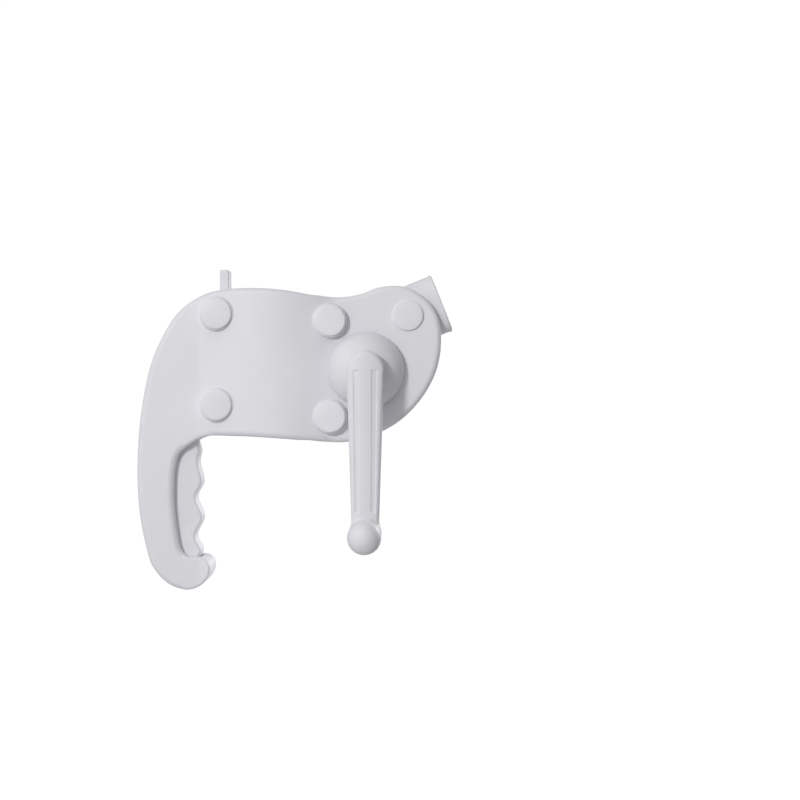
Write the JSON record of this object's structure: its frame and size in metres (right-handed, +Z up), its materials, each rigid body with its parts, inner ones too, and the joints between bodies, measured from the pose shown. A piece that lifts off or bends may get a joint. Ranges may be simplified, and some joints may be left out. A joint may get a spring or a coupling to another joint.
{
  "type": "umbrella swivel bracket",
  "caption": "Moulded two-part bracket that slides on a parasol mast, with a squeeze-lever lock, a hand crank with cord drum, and a pivoting oval socket for the canopy arm.",
  "frame": {"origin": "on the mast axis, at mid-height of the sleeve", "axes": "+Z up along the mast, +X towards the crank and the arm, -Y towards the crank handle side (front)"},
  "size_m": [0.2282, 0.1296, 0.2315],
  "materials": {
    "white_plastic": "satin, fine moulded texture",
    "black_acetal": "smooth, slightly waxy",
    "natural_nylon": "satin",
    "zinc_steel": "zinc plated",
    "spring_steel": "oiled wire",
    "cord": "braided polyester"
  },
  "bodies": {
    "root": {"front_shell": "white_plastic", "rear_shell": "white_plastic", "front_caps": "white_plastic", "rear_caps": "white_plastic", "lever_pin": "zinc_steel", "guide_block": "white_plastic", "glide_pads": "black_acetal", "side_glide_pad": "black_acetal", "lock_spring": "spring_steel", "housing_bolts": "zinc_steel", "bolt_washers": "zinc_steel", "housing_nuts": "zinc_steel", "shell_screws": "zinc_steel", "arm_pivot_bolt": "zinc_steel", "arm_pivot_nut": "zinc_steel", "pulley_spacers": "natural_nylon", "shaft_bushes": "black_acetal", "rope_run": "cord", "brake_spring": "spring_steel", "rear_hub_cap": "white_plastic"},
    "arm": {"arm_socket": "white_plastic", "pivot_bushes": "black_acetal"},
    "pulley": {"rope_pulley": "natural_nylon"},
    "crank": {"crank_shaft": "zinc_steel", "spool": "natural_nylon", "spool_pin": "zinc_steel", "rope_coil": "cord", "crank_hub": "white_plastic", "drive_pin": "zinc_steel", "crank_arm": "white_plastic", "arm_screws": "zinc_steel", "knob_spindle": "zinc_steel", "knob_nut": "zinc_steel", "knob_clip": "spring_steel", "retaining_clip": "spring_steel"},
    "knob": {"crank_knob": "white_plastic"},
    "lever": {"squeeze_lever": "white_plastic"},
    "lock": {"lock_bolt": "zinc_steel", "bolt_clip": "black_acetal"}
  },
  "joints": [
    {"name": "arm_swing", "type": "hinge", "parent": "root", "child": "arm", "pos_m": [0.0952, 0, 0.0343], "axis": [0, -1, 0], "range_deg": [-22, 60], "deforming": ["rope_run"]},
    {"name": "crank_turn", "type": "hinge", "parent": "root", "child": "crank", "pos_m": [0.0653, 0, -0.005], "axis": [0, -1, 0], "continuous": true},
    {"name": "pulley_turn", "type": "hinge", "parent": "root", "child": "pulley", "pos_m": [0.0952, 0, 0.0343], "axis": [0, -1, 0], "continuous": true},
    {"name": "knob_spin", "type": "hinge", "parent": "crank", "child": "knob", "pos_m": [0.0653, -0.08, -0.12], "axis": [0, -1, 0], "continuous": true},
    {"name": "lever_squeeze", "type": "hinge", "parent": "root", "child": "lever", "pos_m": [-0.074, 0, -0.144], "axis": [0, -1, 0], "range_deg": [0, 3]},
    {"name": "lock_bolt_slide", "type": "slide", "parent": "root", "child": "lock", "axis": [-1, 0, 0], "range_m": [0, 0.0076], "stiffness_N_per_m": 1200, "springref_m": -0.003, "deforming": ["lock_spring"]}
  ],
  "couplings": [
    {"joint": "pulley_turn", "follows": "crank_turn", "ratio": 1.7057},
    {"joint": "lock_bolt_slide", "follows": "lever_squeeze", "m_per_rad": 0.144}
  ]
}
